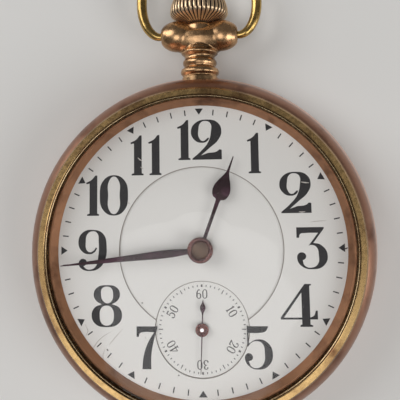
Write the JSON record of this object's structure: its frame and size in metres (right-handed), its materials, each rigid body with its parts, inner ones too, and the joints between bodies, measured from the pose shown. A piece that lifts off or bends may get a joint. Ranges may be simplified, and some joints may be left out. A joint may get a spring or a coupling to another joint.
{
  "type": "open face pocket watch",
  "caption": "Open face pocket watch with enamel dial, sunk seconds dial, fluted crown, pendant and bow; screw-off bezel and back over a jewelled lever movement.",
  "frame": {"origin": "centre of the back cover's flat resting face", "axes": "+Z out of the dial, +Y from the centre to twelve o'clock, the pendant and the bow, +X to three o'clock"},
  "size_m": [0.052, 0.0748, 0.0132],
  "materials": {
    "rose_gold": "polished rose gold fill",
    "yellow_gold": "polished yellow gold fill",
    "crown_gold": "fluted gold fill",
    "crystal": "clear watch glass",
    "enamel": "fired enamel, printed numerals",
    "hands": "darkened steel, bronzed hub",
    "nickel": "nickel plated, striped",
    "steel": "polished steel",
    "winding_steel": "snailed steel",
    "screws": "polished screw heads",
    "blued_steel": "blued steel",
    "gilt": "gilt brass",
    "ruby": "synthetic ruby"
  },
  "bodies": {
    "case": {"case_band": "rose_gold", "pendant": "rose_gold", "pendant_sleeve": "steel", "dial_ring": "enamel", "dial_centre": "enamel", "seconds_dial": "enamel", "pillar_plate": "nickel", "barrel_bridge": "nickel", "train_bridge": "nickel", "movement_screws": "screws", "jewels": "ruby", "motion_studs": "steel", "crown_wheel_core": "steel", "click_spring": "steel", "escape_wheel": "gilt", "escape_pinion": "steel", "pallet_bridge": "nickel", "hairspring_stud": "steel", "balance_cock": "nickel"},
    "bezel": {"bezel": "rose_gold", "crystal": "crystal"},
    "back": {"back_cover": "rose_gold"},
    "bow": {"bow": "yellow_gold"},
    "winder": {"winding_arbor": "steel", "winding_pinion": "steel"},
    "stem": {"crown": "crown_gold", "stem": "steel"},
    "clutch": {"clutch": "steel"},
    "clutch_lever": {"clutch_lever": "steel"},
    "crown_wheel": {"crown_wheel": "winding_steel"},
    "ratchet": {"ratchet_wheel": "winding_steel", "ratchet_screw": "screws", "barrel_arbor": "steel"},
    "click": {"click": "steel"},
    "barrel": {"barrel": "gilt", "barrel_cover": "gilt", "mainspring": "blued_steel"},
    "centre": {"centre_wheel": "gilt", "centre_arbor": "steel", "cannon_pinion": "steel", "minute_hand": "hands"},
    "third": {"third_wheel": "gilt", "third_pinion": "steel"},
    "fourth": {"fourth_wheel": "gilt", "fourth_pinion": "steel", "seconds_hand": "hands"},
    "minute_wheel": {"minute_wheel": "gilt"},
    "setting_wheel": {"setting_wheel": "gilt"},
    "hour": {"hour_wheel": "gilt", "hour_hand": "hands"},
    "fork": {"pallet_fork": "steel", "pallet_stones": "ruby", "pallet_arbor": "steel"},
    "balance": {"balance_wheel": "gilt", "timing_screws": "gilt", "balance_staff": "steel", "roller": "gilt", "collet": "gilt", "hairspring": "blued_steel"},
    "regulator": {"regulator": "steel"}
  },
  "joints": [
    {"name": "bezel_off", "type": "slide", "parent": "case", "child": "bezel", "axis": [0, 0, 1], "range_m": [0, 0.015]},
    {"name": "back_off", "type": "slide", "parent": "case", "child": "back", "axis": [0, 0, -1], "range_m": [0, 0.015]},
    {"name": "bow_swing", "type": "hinge", "parent": "case", "child": "bow", "pos_m": [0, 0.03285, 0.00547], "axis": [1, 0, 0], "range_deg": [-138, 138]},
    {"name": "crown_turn", "type": "hinge", "parent": "case", "child": "winder", "pos_m": [0, 0, 0.00547], "axis": [0, 1, 0], "continuous": true},
    {"name": "crown_pull", "type": "slide", "parent": "winder", "child": "stem", "axis": [0, 1, 0], "range_m": [0, 0.0012]},
    {"name": "clutch_shift", "type": "slide", "parent": "winder", "child": "clutch", "axis": [0, -1, 0], "range_m": [0, 0.0011]},
    {"name": "clutch_lever_turn", "type": "hinge", "parent": "case", "child": "clutch_lever", "pos_m": [0.0072, 0.01499, 0.0088], "axis": [0, 0, 1], "range_deg": [0, 9.05]},
    {"name": "crown_wheel_turn", "type": "hinge", "parent": "case", "child": "crown_wheel", "pos_m": [0, 0.01179, 0.0088], "axis": [0, 0, 1], "continuous": true},
    {"name": "ratchet_turn", "type": "hinge", "parent": "case", "child": "ratchet", "pos_m": [0.00909, 0.00525, 0.0088], "axis": [0, 0, 1], "continuous": true},
    {"name": "click_lift", "type": "hinge", "parent": "case", "child": "click", "pos_m": [0.01335, 0.01325, 0.0088], "axis": [0, 0, -1], "range_deg": [0, 8]},
    {"name": "seconds_turn", "type": "hinge", "parent": "case", "child": "fourth", "pos_m": [0, -0.01135, 0.0088], "axis": [0, 0, -1], "continuous": true},
    {"name": "third_turn", "type": "hinge", "parent": "case", "child": "third", "pos_m": [-0.00446, -0.00622, 0.0088], "axis": [0, 0, -1], "continuous": true},
    {"name": "minutes_turn", "type": "hinge", "parent": "case", "child": "centre", "pos_m": [0, 0, 0.0088], "axis": [0, 0, -1], "continuous": true},
    {"name": "barrel_turn", "type": "hinge", "parent": "case", "child": "barrel", "pos_m": [0.00909, 0.00525, 0.0088], "axis": [0, 0, -1], "continuous": true},
    {"name": "minute_wheel_turn", "type": "hinge", "parent": "case", "child": "minute_wheel", "pos_m": [0.00087, 0.00349, 0.0088], "axis": [0, 0, -1], "continuous": true},
    {"name": "hours_turn", "type": "hinge", "parent": "case", "child": "hour", "pos_m": [0, 0, 0.0088], "axis": [0, 0, -1], "continuous": true},
    {"name": "setting_wheel_turn", "type": "hinge", "parent": "case", "child": "setting_wheel", "pos_m": [0.00087, 0.00943, 0.0088], "axis": [0, 0, -1], "continuous": true},
    {"name": "fork_rock", "type": "hinge", "parent": "case", "child": "fork", "pos_m": [0.00629, -0.0133, 0.0088], "axis": [0, 0, 1], "range_deg": [0, 10]},
    {"name": "balance_swing", "type": "hinge", "parent": "case", "child": "balance", "pos_m": [0.00909, -0.00931, 0.0088], "axis": [0, 0, 1], "range_deg": [-270, 270], "deforming": ["hairspring"]},
    {"name": "regulator_turn", "type": "hinge", "parent": "case", "child": "regulator", "pos_m": [0.00909, -0.00931, 0.0088], "axis": [0, 0, 1], "range_deg": [-15, 15]}
  ],
  "couplings": [
    {"joint": "clutch_shift", "follows": "crown_pull", "ratio": 0.91667},
    {"joint": "clutch_lever_turn", "follows": "crown_pull", "rad_per_m": 127.27},
    {"joint": "crown_wheel_turn", "follows": "crown_turn", "ratio": 0.58333},
    {"joint": "ratchet_turn", "follows": "crown_turn", "ratio": -0.35},
    {"joint": "third_turn", "follows": "seconds_turn", "ratio": -0.13333},
    {"joint": "minutes_turn", "follows": "seconds_turn", "ratio": 0.016667},
    {"joint": "barrel_turn", "follows": "seconds_turn", "ratio": -0.0027778},
    {"joint": "minute_wheel_turn", "follows": "seconds_turn", "ratio": -0.0055556},
    {"joint": "hours_turn", "follows": "seconds_turn", "ratio": 0.0013889},
    {"joint": "setting_wheel_turn", "follows": "seconds_turn", "ratio": 0.0046296}
  ]
}
